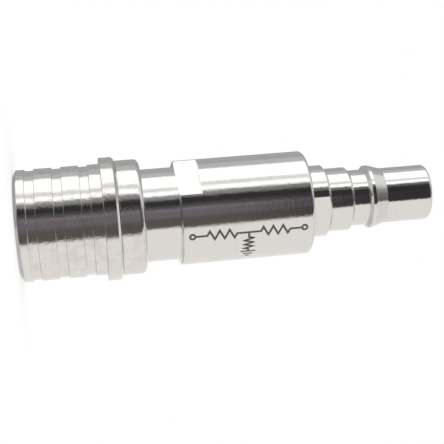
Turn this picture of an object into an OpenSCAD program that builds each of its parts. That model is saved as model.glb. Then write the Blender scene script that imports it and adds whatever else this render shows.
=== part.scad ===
/* [Coaxial line] */
// Bore of the line's outer conductor
line_bore_d = 4.11; // [3.6:0.01:4.6]
// Diameter of the centre conductor
line_core_d = 1.27; // [1.1:0.01:1.5]
// Diameter of the plug's contact pin
pin_d = 0.92; // [0.8:0.01:1]
// Length of the pin's pointed tip
pin_tip_l = 0.4; // [0.2:0.05:0.8]
// Diameter of the flat on the pin's tip
pin_tip_d = 0.35; // [0.2:0.05:0.5]

/* [Plug contact tube] */
// Wall of the slotted contact tube
contact_wall = 0.4; // [0.3:0.05:0.6]
// Length of the tube behind the plug's seat
contact_root_l = 2.3; // [1.5:0.1:4]
// Height of the tube's pressed root above its free end
contact_root_rise = 0.2; // [0.1:0.05:0.4]
// Number of slots in the contact tube
contact_slots = 4; // [3:1:6]
// Width of each slot in the contact tube
contact_slot_w = 0.3; // [0.2:0.05:0.4]
// Length of the slots in the contact tube
contact_slot_l = 3.4; // [2:0.1:3.9]
// Distance that the pin's tip stays behind the tube's mouth
pin_recess = 0.4; // [0.2:0.05:0.8]

/* [Jack] */
// Wall of the jack's nose around its bore
nose_wall = 0.595; // [0.45:0.005:0.8]
// Length of the nose's straight part
nose_l = 5.22; // [4.2:0.01:6]
// Depth of the nose's bore
nose_bore_l = 4.2; // [4:0.1:5]
// Radius of the nose's outer edge
nose_edge_r = 0.35; // [0.1:0.05:0.4]
// Chamfer inside the nose's mouth
nose_mouth = 0.18; // [0.05:0.01:0.25]
// Length of the cone between ridge and nose
taper_l = 1.4; // [1:0.01:1.8]
// Height of the latch ridge above the nose
ridge_rise = 0.44; // [0.3:0.01:0.6]
// Length of the ridge's crest
ridge_l = 0.36; // [0.25:0.01:0.9]
// Length of the slope behind the ridge
ridge_back_l = 0.34; // [0.2:0.01:0.6]
// Height of the latch groove's floor above the nose
groove_rise = 0.03; // [0:0.01:0.1]
// Length of the latch groove's floor
latch_groove_l = 1.75; // [1.6:0.01:2.2]
// Length of the step behind the latch groove
step_l = 2.68; // [2:0.01:3.5]
// Chamfer of the step
step_edge = 0.3; // [0.1:0.01:0.35]
// Length of the ring with the wrench flats
jack_ring_l = 2.37; // [1.5:0.01:3.5]
// Height of the ring above the step
jack_ring_rise = 0.46; // [0.3:0.01:0.8]
// Length of the cone between ring and step
jack_ring_cone_l = 0.3; // [0.15:0.01:0.5]
// Height of the ring's wrench flats above the step
jack_flat_rise = 0.07; // [0.03:0.01:0.2]
// Turn of the jack's wrench flats from the housing's
jack_flat_turn = 69; // [0:1:90]
// Wall of the jack's screwed spigot
jack_spigot_wall = 1.25; // [0.8:0.05:1.5]
// Length of the jack's screwed spigot
jack_spigot_l = 3.5; // [2.5:0.1:5]
// Depth of the dielectric's face below the nose's face
jack_face_recess = 1.8; // [1.2:0.1:2.6]
// Depth of the socket's bore
socket_bore_l = 2.4; // [2.1:0.1:4]
// Number of slots in the socket
socket_slots = 4; // [2:1:4]
// Width of each slot in the socket
socket_slot_w = 0.15; // [0.1:0.01:0.2]
// Length of the slots in the socket
socket_slot_l = 1.9; // [1.2:0.1:2]

/* [Latch collet] */
// Wall of the collet's fingers
finger_wall = 0.4; // [0.3:0.05:0.5]
// Height of the fingers' heads above the fingers
head_rise = 0.25; // [0.15:0.01:0.35]
// Distance of the heads behind the sleeve's rim
head_z = 0.35; // [0.2:0.05:0.6]
// Length of the heads
head_l = 1.25; // [1:0.05:1.5]
// Length of the hooks
hook_l = 1.15; // [1.05:0.05:1.3]
// Length of the hooks' lead-in cone
hook_lead_l = 0.42; // [0.2:0.01:0.5]
// Number of slots between the fingers
collet_slots = 6; // [4:1:8]
// Width of each slot between the fingers
collet_slot_w = 0.5; // [0.3:0.05:0.7]
// Length of the slots between the fingers
collet_slot_l = 7.6; // [6:0.1:8]
// Height of the stop flange above the neck
flange_rise = 0.35; // [0.25:0.01:0.5]
// Thickness of the stop flange
flange_t = 1; // [0.6:0.05:1.5]
// Distance from the plug's seat to the stop flange
flange_inset = 0.13; // [0.05:0.01:0.5]

/* [Coupling sleeve] */
// Wall of the sleeve around the spring, at the grip grooves
sleeve_wall = 0.415; // [0.35:0.005:0.8]
// Height of the grip ribs
rib_rise = 0.165; // [0.08:0.005:0.4]
// Distance of the first grip groove from the rim
grip_z = 1.27; // [0.8:0.01:2]
// Width of the grip grooves
grip_groove_w = 0.96; // [0.6:0.01:1.4]
// Distance from one grip groove to the next
grip_pitch = 2.87; // [2:0.01:3.4]
// Shortest rib between the last groove and the collar
last_rib_min = 0.6; // [0.4:0.1:1.5]
// Length of the rim's bevel
rim_bevel_l = 0.35; // [0.2:0.01:0.6]
// Depth of the rim's bevel
rim_bevel_r = 0.6; // [0.3:0.01:0.9]
// Chamfer inside the rim
rim_mouth = 0.2; // [0.1:0.01:0.3]
// Height of the collar above the ribs
collar_rise = 0.65; // [0.3:0.01:1]
// Length of the collar
collar_l = 1.57; // [1:0.01:2.5]
// Chamfer of the ribs and the collar's front edge
grip_edge = 0.04; // [0.02:0.01:0.12]
// Chamfer of the collar's rear edge
collar_edge = 0.24; // [0.05:0.01:0.4]

/* [Sleeve retainer] */
// Height of the retainer's ring above its pilot
retainer_rise = 0.79; // [0.4:0.01:1.2]
// Length of the retainer's ring
retainer_l = 2.67; // [1.5:0.01:3.5]
// Chamfer at the retainer's front
retainer_front = 0.12; // [0.05:0.01:0.4]
// Radius of the retainer's rear edge
retainer_edge_r = 0.56; // [0.1:0.01:0.8]
// Length of the pilot inside the sleeve
pilot_l = 0.78; // [0.6:0.01:1.5]
// Axial gap between collar and retainer
retainer_gap = 0.02; // [0.02:0.01:0.5]

/* [Release spring] */
// Diameter of the spring's wire
wire_d = 0.5; // [0.4:0.01:0.6]
// Length of the spring as fitted
spring_l = 4.9; // [4.5:0.1:5.2]
// Turns of the spring, with one closed turn at each end
spring_turns = 4.5; // [3.5:0.5:5]

/* [Neck and housing] */
// Diameter of the neck
neck_d = 10.2; // [9.8:0.05:11]
// Length of neck in sight
neck_l = 3.75; // [2.5:0.05:6]
// Bore of the housing
housing_bore_d = 8; // [7.6:0.05:8.6]
// Wall of the housing
housing_wall = 1.75; // [1.3:0.05:2.5]
// Length of the housing
housing_l = 14.5; // [13:0.1:20]
// Chamfer of the housing's edge at the plug's end
housing_edge = 0.16; // [0.1:0.01:0.5]
// Radius of the housing's edge at the jack's end
housing_edge_r = 0.4; // [0.1:0.05:0.8]
// Wall left under the housing's wrench flats
flat_wall = 0.98; // [0.5:0.02:1.2]
// Length of the housing's wrench flats
flat_l = 2.5; // [1.5:0.1:5]
// Length of the plug body's screwed spigot
plug_spigot_l = 3.5; // [2.5:0.1:5]

/* [Resistor card] */
// Thickness of the card
card_t = 0.64; // [0.4:0.01:0.8]
// Distance of the card's long edges from the housing's bore
card_edge = 1.2; // [1:0.05:1.4]
// Width of the ground pads
ground_w = 0.695; // [0.4:0.005:0.9]
// Distance of the card's ends from the shells' ends
card_inset = 0.25; // [0.1:0.05:0.6]
// Thickness of the printed films
film_t = 0.03; // [0.02:0.01:0.05]
// Length of the line pads
pad_l = 1.6; // [1:0.1:2]
// Length of the shunt resistors along the card
shunt_l = 1.1; // [0.6:0.1:1.6]

/* [Fits] */
// Radial gap of the pieces that slide or turn
running_gap = 0.05; // [0.02:0.01:0.08]
// Radial gap of pressed and screwed seats
seat_gap = 0.01; // [0.005:0.005:0.02]
// Radial gap between a mating nose's ridge and the fingers
latch_gap = 0.06; // [0.03:0.01:0.15]
// Radial gap between a mating nose's groove and the hooks
hook_gap = 0.095; // [0.05:0.005:0.2]
// Radial gap around the spring
spring_gap = 0.25; // [0.1:0.01:0.4]
// Radial gap between the socket and a mating pin
socket_gap = 0.02; // [0.01:0.005:0.04]
// Axial gap at faces that meet when mated or at a stop
face_gap = 0.05; // [0.02:0.01:0.1]
// Small chamfer on turned edges
edge = 0.1; // [0.05:0.01:0.15]

/* [Hidden] */
$fn = 96;

// Radii of the line and the jack
line_r = line_bore_d / 2;
core_r = line_core_d / 2;
pin_r = pin_d / 2;
contact_r = line_r + contact_wall;
contact_root_r = contact_r + contact_root_rise;
nose_bore_r = contact_r + running_gap;
nose_r = nose_bore_r + nose_wall;
ridge_r = nose_r + ridge_rise;
latch_groove_r = nose_r + groove_rise;
step_r = ridge_r;
jack_ring_r = step_r + jack_ring_rise;
jack_flat_h = step_r + jack_flat_rise;
jack_spigot_r = line_r + jack_spigot_wall;
socket_bore_r = pin_r + socket_gap;

// Radii of the latch and the sleeve
collet_r = ridge_r + latch_gap;
hook_r = latch_groove_r + hook_gap;
finger_r = collet_r + finger_wall;
head_r = finger_r + head_rise;
sleeve_bore_r = head_r + running_gap;
neck_r = neck_d / 2;
flange_r = neck_r + flange_rise;
chamber_r = flange_r + running_gap;
retainer_bore_r = neck_r + running_gap;
pilot_r = chamber_r - seat_gap;
retainer_r = chamber_r + retainer_rise;
grip_groove_r = chamber_r + sleeve_wall;
rib_r = grip_groove_r + rib_rise;
collar_r = rib_r + collar_rise;
spring_r = chamber_r - spring_gap - wire_d / 2;

// Radii of the housing
housing_bore_r = housing_bore_d / 2;
housing_r = housing_bore_r + housing_wall;
flat_h = housing_bore_r + flat_wall;

// Heights of the plug, from the rim up
hook_face_z = head_z + hook_l;
nose_to_latch = nose_l + taper_l + ridge_l + ridge_back_l;
seat_z = hook_face_z + nose_to_latch + face_gap;
contact_tip_z = seat_z - nose_bore_l + face_gap;
pin_tip_z = contact_tip_z + pin_recess;
plug_face_z = seat_z - jack_face_recess + face_gap;
flange_z = seat_z + flange_inset;
flange_rear_z = flange_z + flange_t;
pilot_z = flange_rear_z + face_gap;
retainer_z = pilot_z + pilot_l;
sleeve_l = retainer_z - retainer_gap;
collar_z = sleeve_l - collar_l;
grip_span = collar_z - last_rib_min - grip_z - grip_groove_w;
grip_grooves = floor(grip_span / grip_pitch) + 1;
spring_z = flange_z - face_gap - spring_l;
chamber_z = spring_z - face_gap;
retainer_rear_z = retainer_z + retainer_l;

// Heights of the housing and the jack
housing_z = retainer_rear_z + neck_l;
plug_line_z = housing_z + plug_spigot_l;
jack_z = housing_z + housing_l;
jack_line_z = jack_z - jack_spigot_l;
step_z = jack_z + jack_ring_l;
latch_groove_z = step_z + step_l;
ridge_back_z = latch_groove_z + latch_groove_l;
ridge_z = ridge_back_z + ridge_back_l;
taper_z = ridge_z + ridge_l;
nose_z = taper_z + taper_l;
nose_face_z = nose_z + nose_l;
nose_floor_z = nose_face_z - nose_bore_l;
jack_face_z = nose_face_z - jack_face_recess;

// Sizes of the resistor card
shell_l = jack_line_z - plug_line_z;
card_w = housing_bore_d - 2 * card_edge;
card_l = shell_l - 2 * card_inset;
card_z = plug_line_z + card_inset;
card_top = card_t / 2;
pad_top = card_top + film_t;
channel_r = card_w / 2 - ground_w - face_gap;
shunt_w = card_w / 2 - ground_w - core_r;

// Resolution of small arcs and of the spring's sweep
arc_steps = 8;
spring_steps = 40;
wire_sides = 12;

// How far cuts run past the material
cut = 1;

// Points [radius, height] on an arc about a centre
function arc(centre, r, from, to) =
    [for (i = [0:arc_steps]) let (a = from + (to - from) * i / arc_steps)
        centre + r * [cos(a), sin(a)]];

// Solid of revolution about the object's axis, from points [radius, height]
module turned(profile) {
    rotate_extrude() polygon(profile);
}

// Plain ring between two heights
module tube(outer_r, inner_r, from_z, to_z) {
    turned([[inner_r, from_z], [outer_r, from_z], [outer_r, to_z], [inner_r, to_z]]);
}

// Radial saw cuts spread evenly round the axis
module radial_slots(count, width, reach, from_z, to_z) {
    for (i = [0:count - 1])
        rotate(i * 360 / count)
            translate([0, -width / 2, from_z])
                cube([reach, width, to_z - from_z]);
}

// Stock milled away outside a pair of wrench flats, at half the size across them
module flat_cuts(half_across, stock_r, from_z, to_z) {
    for (side = [0, 180])
        rotate(side)
            translate([-stock_r - cut, -stock_r - cut, from_z])
                cube([2 * (stock_r + cut), stock_r + cut - half_across, to_z - from_z]);
}

// Height of the spring's wire centre after a number of turns, closed up at both ends
function spring_height(turn) =
    let (closed = wire_d + seat_gap)
    let (open = (spring_l - wire_d - 2 * closed) / (spring_turns - 2))
    spring_z + wire_d / 2 + closed * min(turn, 1)
        + open * max(0, min(turn - 1, spring_turns - 2))
        + closed * max(0, turn - (spring_turns - 1));

// Grooves, ribs and collar of the sleeve's outside, from the rim up
function grip_profile() =
    [for (i = [0:grip_grooves - 1]) let (z = grip_z + i * grip_pitch)
        each [[rib_r - grip_edge, z], [grip_groove_r, z],
              [grip_groove_r, z + grip_groove_w], [rib_r - grip_edge, z + grip_groove_w],
              [rib_r, z + grip_groove_w + grip_edge],
              [rib_r, i < grip_grooves - 1 ? z + grip_pitch - grip_edge : collar_z]]];

// Sliding sleeve that locks the collet's heads
module coupling_sleeve() {
    color("silver")
        turned(concat(
            [[sleeve_bore_r + rim_mouth, 0], [rib_r - rim_bevel_r, 0], [rib_r, rim_bevel_l],
             [rib_r, grip_z - grip_edge]],
            grip_profile(),
            [[collar_r - grip_edge, collar_z], [collar_r, collar_z + grip_edge],
             [collar_r, sleeve_l - collar_edge], [collar_r - collar_edge, sleeve_l],
             [chamber_r, sleeve_l], [chamber_r, chamber_z], [sleeve_bore_r, chamber_z],
             [sleeve_bore_r, rim_mouth]]));
}

// Ring pressed into the sleeve's rear, which stops against the collet's flange
module sleeve_retainer() {
    edge_centre = [retainer_r, retainer_rear_z] - retainer_edge_r * [1, 1];
    color("silver")
        turned(concat(
            [[retainer_bore_r, pilot_z], [pilot_r, pilot_z], [pilot_r, retainer_z],
             [retainer_r - retainer_front, retainer_z],
             [retainer_r, retainer_z + retainer_front]],
            arc(edge_centre, retainer_edge_r, 0, 90),
            [[retainer_bore_r + edge, retainer_rear_z],
             [retainer_bore_r, retainer_rear_z - edge]]));
}

// Coil spring between the sleeve's shoulder and the collet's flange
module release_spring() {
    rings = spring_turns * spring_steps;
    wire = [for (i = [0:rings]) let (a = 360 * i / spring_steps)
        for (j = [0:wire_sides - 1]) let (b = 360 * j / wire_sides)
            let (r = spring_r + wire_d / 2 * cos(b))
            [r * cos(a), r * sin(a), spring_height(i / spring_steps) + wire_d / 2 * sin(b)]];
    sides = [for (i = [0:rings - 1]) for (j = [0:wire_sides - 1])
        let (k = (j + 1) % wire_sides)
        [i * wire_sides + j, (i + 1) * wire_sides + j, (i + 1) * wire_sides + k, i * wire_sides + k]];
    first_end = [for (j = [0:wire_sides - 1]) j];
    last_end = [for (j = [wire_sides - 1:-1:0]) rings * wire_sides + j];
    color("slategray") polyhedron(wire, concat(sides, [first_end, last_end]));
}

// Spring collet whose hooks snap behind a mating nose's ridge
module latch_collet() {
    head_end_z = head_z + head_l;
    color("silver")
        difference() {
            turned([[hook_r + hook_lead_l, head_z], [head_r - edge, head_z], [head_r, head_z + edge],
                    [head_r, head_end_z], [finger_r, head_end_z + head_rise],
                    [finger_r, flange_z - edge], [finger_r + edge, flange_z],
                    [flange_r, flange_z], [flange_r, flange_rear_z], [collet_r, flange_rear_z],
                    [collet_r, hook_face_z], [hook_r, hook_face_z - (collet_r - hook_r)],
                    [hook_r, head_z + hook_lead_l]]);
            radial_slots(collet_slots, collet_slot_w, head_r + cut, head_z - cut,
                         head_z + collet_slot_l);
        }
}

// Turned body of the plug: seat, neck and the spigot screwed into the housing
module plug_body() {
    seat_r = collet_r - seat_gap;
    root_hole_r = contact_root_r + seat_gap;
    root_z = seat_z + contact_root_l;
    color("silver")
        turned([[root_hole_r, seat_z], [seat_r, seat_z], [seat_r, flange_rear_z],
                [neck_r, flange_rear_z], [neck_r, housing_z],
                [housing_bore_r - seat_gap, housing_z], [housing_bore_r - seat_gap, plug_line_z],
                [line_r, plug_line_z], [line_r, root_z + seat_gap],
                [root_hole_r, root_z + seat_gap]]);
}

// Slotted tube that makes the outer contact inside a mating nose
module plug_outer_contact() {
    color("gold")
        difference() {
            turned([[line_r, contact_tip_z], [contact_r - edge, contact_tip_z],
                    [contact_r, contact_tip_z + edge], [contact_r, seat_z],
                    [contact_root_r, seat_z], [contact_root_r, seat_z + contact_root_l],
                    [line_r, seat_z + contact_root_l]]);
            rotate(180 / contact_slots)
                radial_slots(contact_slots, contact_slot_w, contact_r + cut, contact_tip_z - cut,
                             contact_tip_z + contact_slot_l);
        }
}

// Dielectric of the plug's line
module plug_insulator() {
    color("white") tube(line_r - seat_gap, core_r + seat_gap, plug_face_z, plug_line_z);
}

// Stock milled away under a centre conductor's end, which leaves a tongue on the card's line pad
module tongue_cut(from_z, to_z) {
    translate([-line_r, -line_r, from_z]) cube([line_bore_d, line_r + pad_top, to_z - from_z]);
}

// Centre conductor of the plug, with its pin in front and its tongue on the card
module plug_pin() {
    tongue_z = card_z + pad_l;
    color("gold")
        difference() {
            turned([[0, pin_tip_z], [pin_tip_d / 2, pin_tip_z], [pin_r, pin_tip_z + pin_tip_l],
                    [pin_r, plug_face_z], [core_r, plug_face_z], [core_r, tongue_z],
                    [0, tongue_z]]);
            tongue_cut(plug_line_z, tongue_z + cut);
        }
}

// Main cylinder that joins plug and jack, with two wrench flats at the plug's end
module attenuator_housing() {
    spigot_hole_r = jack_spigot_r + seat_gap;
    edge_centre = [housing_r, jack_z] - housing_edge_r * [1, 1];
    color("silver")
        difference() {
            turned(concat(
                [[housing_bore_r, housing_z], [housing_r - housing_edge, housing_z],
                 [housing_r, housing_z + housing_edge]],
                arc(edge_centre, housing_edge_r, 0, 90),
                [[spigot_hole_r, jack_z], [spigot_hole_r, jack_line_z],
                 [housing_bore_r, jack_line_z]]));
            flat_cuts(flat_h, housing_r, housing_z - cut, housing_z + flat_l);
        }
}

// Half of the ground shell on one side of the card, open over the line's channel and the card
module half_shell(side, pocket) {
    difference() {
        intersection() {
            tube(housing_bore_r - seat_gap, channel_r, plug_line_z, jack_line_z);
            translate([-housing_bore_r, side > 0 ? 0 : -housing_bore_r, plug_line_z])
                cube([housing_bore_d, housing_bore_r, shell_l]);
        }
        translate([-card_w / 2 - seat_gap, -pocket, plug_line_z - cut])
            cube([card_w + 2 * seat_gap, 2 * pocket, shell_l + 2 * cut]);
    }
}

// Half shell on the printed side, resting on the ground pads
module ground_shell_front() {
    color("goldenrod") half_shell(1, pad_top);
}

// Half shell on the bare side of the card
module ground_shell_back() {
    color("goldenrod") half_shell(-1, card_top);
}

// Ceramic card
module attenuator_card() {
    color("ivory")
        translate([-card_w / 2, -card_top, card_z])
            cube([card_w, card_t, card_l]);
}

// Printed area on the card's front face
module print_area(from_x, width, from_z, length) {
    translate([from_x, card_top, from_z]) cube([width, film_t, length]);
}

// Series resistor between the line pads, and shunt resistors out to the ground pads
module resistor_film() {
    color("dimgray") {
        print_area(-core_r, line_core_d, card_z + pad_l, card_l - 2 * pad_l);
        for (z = [card_z, card_z + card_l - shunt_l]) {
            print_area(core_r, shunt_w, z, shunt_l);
            print_area(-core_r - shunt_w, shunt_w, z, shunt_l);
        }
    }
}

// Line pads at both ends of the card
module line_pads() {
    color("lightgray")
        for (z = [card_z, card_z + card_l - pad_l])
            print_area(-core_r, line_core_d, z, pad_l);
}

// Ground pads along both long edges of the card
module ground_pads() {
    color("lightgray")
        for (x = [-card_w / 2, card_w / 2 - ground_w])
            print_area(x, ground_w, card_z, card_l);
}

// Turned body of the jack: spigot, ring with flats, step, latch groove, ridge, taper and nose
module jack_body() {
    nose_edge_centre = [nose_r - nose_edge_r, nose_face_z - nose_edge_r];
    color("silver")
        difference() {
            turned(concat(
                [[line_r, jack_line_z], [jack_spigot_r, jack_line_z], [jack_spigot_r, jack_z],
                 [jack_ring_r - edge, jack_z], [jack_ring_r, jack_z + edge],
                 [jack_ring_r, step_z - jack_ring_cone_l], [step_r, step_z],
                 [step_r, latch_groove_z - step_edge], [step_r - step_edge, latch_groove_z],
                 [latch_groove_r, latch_groove_z], [latch_groove_r, ridge_back_z],
                 [ridge_r, ridge_z], [ridge_r, taper_z], [nose_r, nose_z]],
                arc(nose_edge_centre, nose_edge_r, 0, 90),
                [[nose_bore_r + nose_mouth, nose_face_z], [nose_bore_r, nose_face_z - nose_mouth],
                 [nose_bore_r, nose_floor_z], [line_r, nose_floor_z]]));
            rotate(jack_flat_turn) flat_cuts(jack_flat_h, jack_ring_r, jack_z - cut, step_z);
        }
}

// Dielectric of the jack's line, slimmer where a mating contact tube goes round it
module jack_insulator() {
    bore_r = core_r + seat_gap;
    front_r = line_r - running_gap;
    color("white")
        turned([[bore_r, jack_line_z], [line_r - seat_gap, jack_line_z],
                [line_r - seat_gap, nose_floor_z], [front_r, nose_floor_z],
                [front_r, jack_face_z], [bore_r, jack_face_z]]);
}

// Centre conductor of the jack, with its slotted socket in front and its tongue on the card
module jack_socket() {
    socket_floor_z = jack_face_z - socket_bore_l;
    tongue_z = card_z + card_l - pad_l;
    color("gold")
        difference() {
            turned([[0, tongue_z], [core_r, tongue_z], [core_r, jack_face_z],
                    [socket_bore_r, jack_face_z], [socket_bore_r, socket_floor_z],
                    [0, socket_floor_z]]);
            radial_slots(socket_slots, socket_slot_w, core_r + cut, jack_face_z - socket_slot_l,
                         jack_face_z + cut);
            tongue_cut(tongue_z - cut, jack_line_z);
        }
}

coupling_sleeve();
sleeve_retainer();
release_spring();
latch_collet();
plug_body();
plug_outer_contact();
plug_insulator();
plug_pin();
attenuator_housing();
ground_shell_front();
ground_shell_back();
attenuator_card();
resistor_film();
line_pads();
ground_pads();
jack_body();
jack_insulator();
jack_socket();
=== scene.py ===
"""Looks of a fixed coaxial attenuator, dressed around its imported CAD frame."""

import logging
import math
from dataclasses import dataclass
from enum import Enum

import bpy
from mathutils import Matrix, Vector


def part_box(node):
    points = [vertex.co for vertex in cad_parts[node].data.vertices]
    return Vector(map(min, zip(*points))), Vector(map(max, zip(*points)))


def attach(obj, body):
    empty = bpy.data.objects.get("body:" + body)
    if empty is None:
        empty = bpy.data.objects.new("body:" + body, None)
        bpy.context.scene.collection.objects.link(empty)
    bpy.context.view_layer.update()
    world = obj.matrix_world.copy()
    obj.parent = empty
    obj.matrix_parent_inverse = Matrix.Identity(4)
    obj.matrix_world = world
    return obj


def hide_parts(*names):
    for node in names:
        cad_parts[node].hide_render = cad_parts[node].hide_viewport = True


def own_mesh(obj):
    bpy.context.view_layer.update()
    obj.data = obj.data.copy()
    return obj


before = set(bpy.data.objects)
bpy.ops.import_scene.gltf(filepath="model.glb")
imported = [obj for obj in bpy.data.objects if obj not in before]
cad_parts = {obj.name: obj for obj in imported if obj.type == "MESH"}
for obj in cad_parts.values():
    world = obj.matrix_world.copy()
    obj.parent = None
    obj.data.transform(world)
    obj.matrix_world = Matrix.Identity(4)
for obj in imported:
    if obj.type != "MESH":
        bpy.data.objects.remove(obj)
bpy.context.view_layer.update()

log = logging.getLogger("attenuator")

Colour = tuple[float, float, float]
Span = tuple[float, float]
Node = bpy.types.Node
Socket = bpy.types.NodeSocket

MM = 0.001
VIEW_AZIMUTH = 318.5  # degrees, from the axis to the camera


class Body(Enum):
    """Moving groups of the CAD frame."""

    ATTENUATOR = "attenuator"
    SPRING = "spring"
    SLEEVE = "sleeve"


class Slot(Enum):
    """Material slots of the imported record."""

    PLATED_BRASS = "plated_brass"
    GOLD = "gold"
    RAW_BRASS = "raw_brass"
    DIELECTRIC = "dielectric"
    CERAMIC = "ceramic"
    FILM = "film"
    SILVER_PRINT = "silver_print"
    SPRING_STEEL = "spring_steel"


NodeSlots = tuple[tuple[str, Slot], ...]


class Effect(Enum):
    """Surface effects that several finishes share."""

    TURNING_MARKS = "turning_marks"
    SMUDGES = "handling_smudges"
    SPECKS = "fine_specks"


class Wiring:
    """Node tree with the wiring that effects, materials and the world share."""

    # A Mix node has sockets of the same names for each data type; these are the colours'.
    MIX_FACTOR = 0
    MIX_LOW = 6
    MIX_HIGH = 7
    MIX_RESULT = 2

    def __init__(self, tree: bpy.types.NodeTree) -> None:
        """Keep the tree that the nodes go into."""
        self.tree = tree

    def node(self, kind: str, group: bpy.types.NodeTree | None = None, **values: float) -> Node:
        """Add a node and set some of its inputs.

        Args:
            kind: Type of the node.
            group: Tree that a group node stands for.
            values: Values of inputs by name, with _ for a space.

        Returns:
            The new node.
        """
        node = self.tree.nodes.new(kind)
        if group:
            node.node_tree = group
        for name, value in values.items():
            node.inputs[name.replace("_", " ")].default_value = value
        return node

    def link(self, *pairs: tuple[Socket, Socket]) -> None:
        """Link pairs of an output and an input."""
        for source, target in pairs:
            self.tree.links.new(source, target)

    def mix(self, factor: Socket, low: Colour | Socket, high: Colour | Socket) -> Socket:
        """Mix two colours.

        Args:
            factor: Output that picks between the colours.
            low: Colour or output taken where the factor is 0.
            high: Colour or output taken where the factor is 1.

        Returns:
            The mixed colour.
        """
        node = self.node("ShaderNodeMix")
        node.data_type = "RGBA"
        self.link((factor, node.inputs[self.MIX_FACTOR]))
        for source, place in ((low, self.MIX_LOW), (high, self.MIX_HIGH)):
            if isinstance(source, tuple):
                node.inputs[place].default_value = (*source, 1.0)
            else:
                self.link((source, node.inputs[place]))
        return node.outputs[self.MIX_RESULT]

    def remap(self, value: Socket, reach: Span, results: Span = (0.0, 1.0),
              smooth: bool = False) -> Socket:
        """Map a value from one range to another, held at both ends.

        Args:
            value: Output to map.
            reach: Values at the range's ends.
            results: Results at the range's ends.
            smooth: Whether the results ease in and out.

        Returns:
            The mapped value.
        """
        span = self.node("ShaderNodeMapRange")
        span.interpolation_type = "SMOOTHSTEP" if smooth else "LINEAR"
        for end, given, result in zip(("Min", "Max"), reach, results):
            span.inputs[f"From {end}"].default_value = given
            span.inputs[f"To {end}"].default_value = result
        self.link((value, span.inputs["Value"]))
        return span.outputs["Result"]

    def combine(self, operation: str, first: Socket, second: Socket | float) -> Socket:
        """Combine two values.

        Args:
            operation: Name of the operation.
            first: First value.
            second: Second value, an output or a number.

        Returns:
            The result.
        """
        node = self.node("ShaderNodeMath")
        node.operation = operation
        self.link((first, node.inputs[0]))
        if isinstance(second, float):
            node.inputs[1].default_value = second
        else:
            self.link((second, node.inputs[1]))
        return node.outputs[0]


@dataclass(frozen=True)
class Pattern:
    """Noise behind a shared effect, and the step that makes a mask of it."""

    scale_name: str
    scale: float
    detail: float
    roughness: float
    step: Span
    swirl: float = 0.0
    turned: bool = False


class EffectGroups:
    """Shader node groups of the shared effects, each built once."""

    PATTERNS = {
        Effect.TURNING_MARKS: Pattern(
            "Lines per metre", 9000.0, 2.0, 0.6, (0.35, 0.7), turned=True),
        Effect.SMUDGES: Pattern("Scale", 260.0, 4.0, 0.55, (0.38, 0.72), swirl=0.6),
        Effect.SPECKS: Pattern("Scale", 4000.0, 3.0, 0.7, (0.6, 0.78)),
    }

    def __init__(self) -> None:
        """Build every group."""
        self.trees = {effect: self._group(effect) for effect in Effect}

    @staticmethod
    def _radius_and_height(wires: Wiring, place: Socket) -> Socket:
        """Reduce a place to its radius and height, so that a pattern runs round the Z axis.

        Args:
            wires: Wiring of the group.
            place: Output with the place.

        Returns:
            The reduced place.
        """
        split = wires.node("ShaderNodeSeparateXYZ")
        flat = wires.node("ShaderNodeCombineXYZ")
        radius = wires.node("ShaderNodeVectorMath")
        radius.operation = "LENGTH"
        join = wires.node("ShaderNodeCombineXYZ")
        wires.link((place, split.inputs["Vector"]),
                   (split.outputs["X"], flat.inputs["X"]),
                   (split.outputs["Y"], flat.inputs["Y"]),
                   (flat.outputs["Vector"], radius.inputs[0]),
                   (radius.outputs["Value"], join.inputs["X"]),
                   (split.outputs["Z"], join.inputs["Z"]))
        return join.outputs["Vector"]

    def _group(self, effect: Effect) -> bpy.types.NodeTree:
        """Build the group of an effect, which puts out a height and a mask.

        Args:
            effect: Effect that the group is for.

        Returns:
            The group's tree.
        """
        pattern = self.PATTERNS[effect]
        tree = bpy.data.node_groups.new(effect.value, "ShaderNodeTree")
        scale = tree.interface.new_socket(
            pattern.scale_name, in_out="INPUT", socket_type="NodeSocketFloat")
        scale.default_value = pattern.scale
        for name in ("Height", "Mask"):
            tree.interface.new_socket(name, in_out="OUTPUT", socket_type="NodeSocketFloat")
        wires = Wiring(tree)
        given, out = wires.node("NodeGroupInput"), wires.node("NodeGroupOutput")
        place = wires.node("ShaderNodeTexCoord").outputs["Object"]
        if pattern.turned:
            place = self._radius_and_height(wires, place)
        noise = wires.node("ShaderNodeTexNoise", Detail=pattern.detail,
                           Roughness=pattern.roughness, Distortion=pattern.swirl)
        wires.link((place, noise.inputs["Vector"]),
                   (given.outputs[pattern.scale_name], noise.inputs["Scale"]),
                   (noise.outputs["Fac"], out.inputs["Height"]),
                   (wires.remap(noise.outputs["Fac"], pattern.step, smooth=True),
                    out.inputs["Mask"]))
        return tree


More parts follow.
